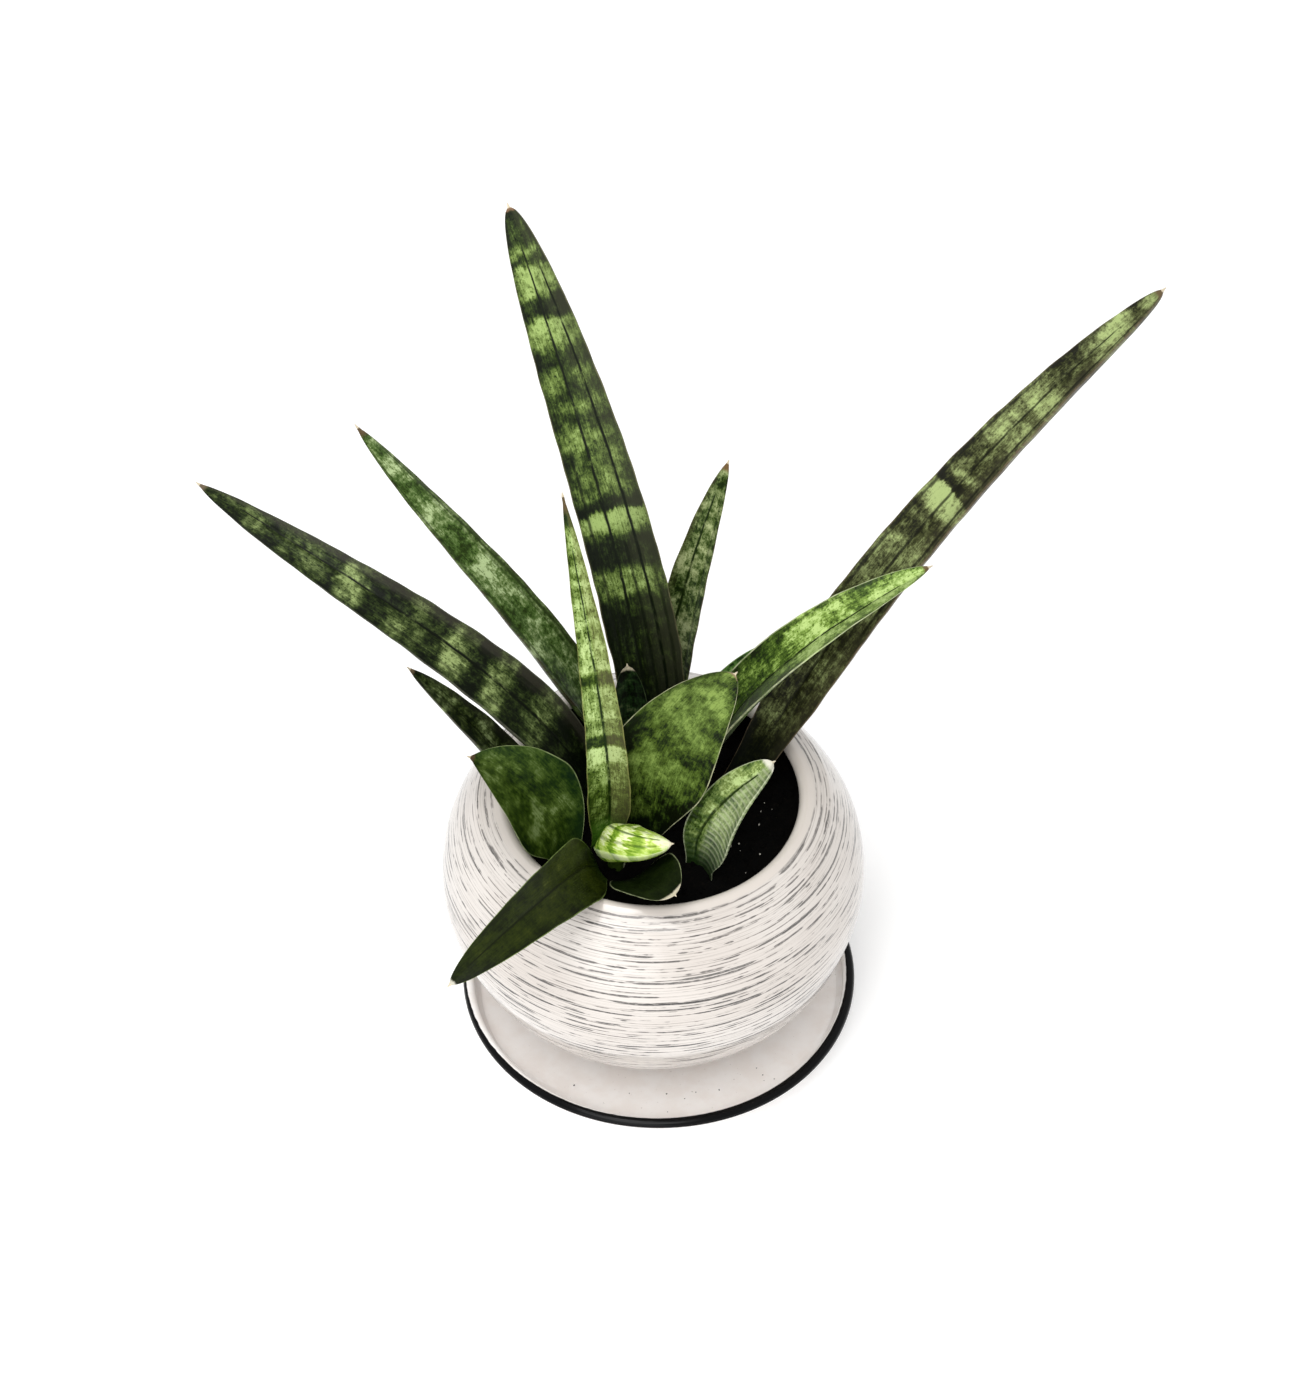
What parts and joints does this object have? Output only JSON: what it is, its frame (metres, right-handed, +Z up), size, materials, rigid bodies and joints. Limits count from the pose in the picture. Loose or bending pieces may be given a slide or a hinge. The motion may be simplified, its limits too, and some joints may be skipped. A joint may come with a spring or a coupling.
{
  "type": "potted snake plant",
  "caption": "Snake plant with long and short blotched leaves growing from soil in a round brushed-glaze pot that stands on a dished saucer.",
  "frame": {"origin": "centre of the saucer's underside, on the floor", "axes": "+Z up, -Y towards the front, +X to the right of someone facing the plant's front"},
  "size_m": [0.3106, 0.1785, 0.2847],
  "materials": {
    "saucer_glaze": "gloss off-white glaze with a gloss black outer edge",
    "pot_glaze": "gloss off-white glaze with level grey-black brushed dashes and a plain lip",
    "soil": "matte black potting soil",
    "banded_leaf": "waxy leaf skin, yellow-green with dark cross bands",
    "young_leaf": "waxy leaf skin, pale yellow-green with fine dark mottling",
    "dark_leaf": "waxy leaf skin, very dark green"
  },
  "bodies": {
    "root": {"saucer": "saucer_glaze", "pot": "pot_glaze", "soil": "soil", "leaf_tall": "banded_leaf", "leaf_right_long": "banded_leaf", "leaf_left_long": "banded_leaf", "leaf_left_mid": "banded_leaf", "leaf_left_low": "banded_leaf", "leaf_back_right": "banded_leaf", "leaf_right_arch": "young_leaf", "leaf_slender": "young_leaf", "leaf_broad_left": "dark_leaf", "leaf_broad_back": "banded_leaf", "leaf_front_droop": "dark_leaf", "leaf_bud": "young_leaf", "leaf_front_short": "dark_leaf", "leaf_sucker": "young_leaf", "leaf_shaded": "dark_leaf", "leaf_behind": "dark_leaf"}
  },
  "joints": []
}
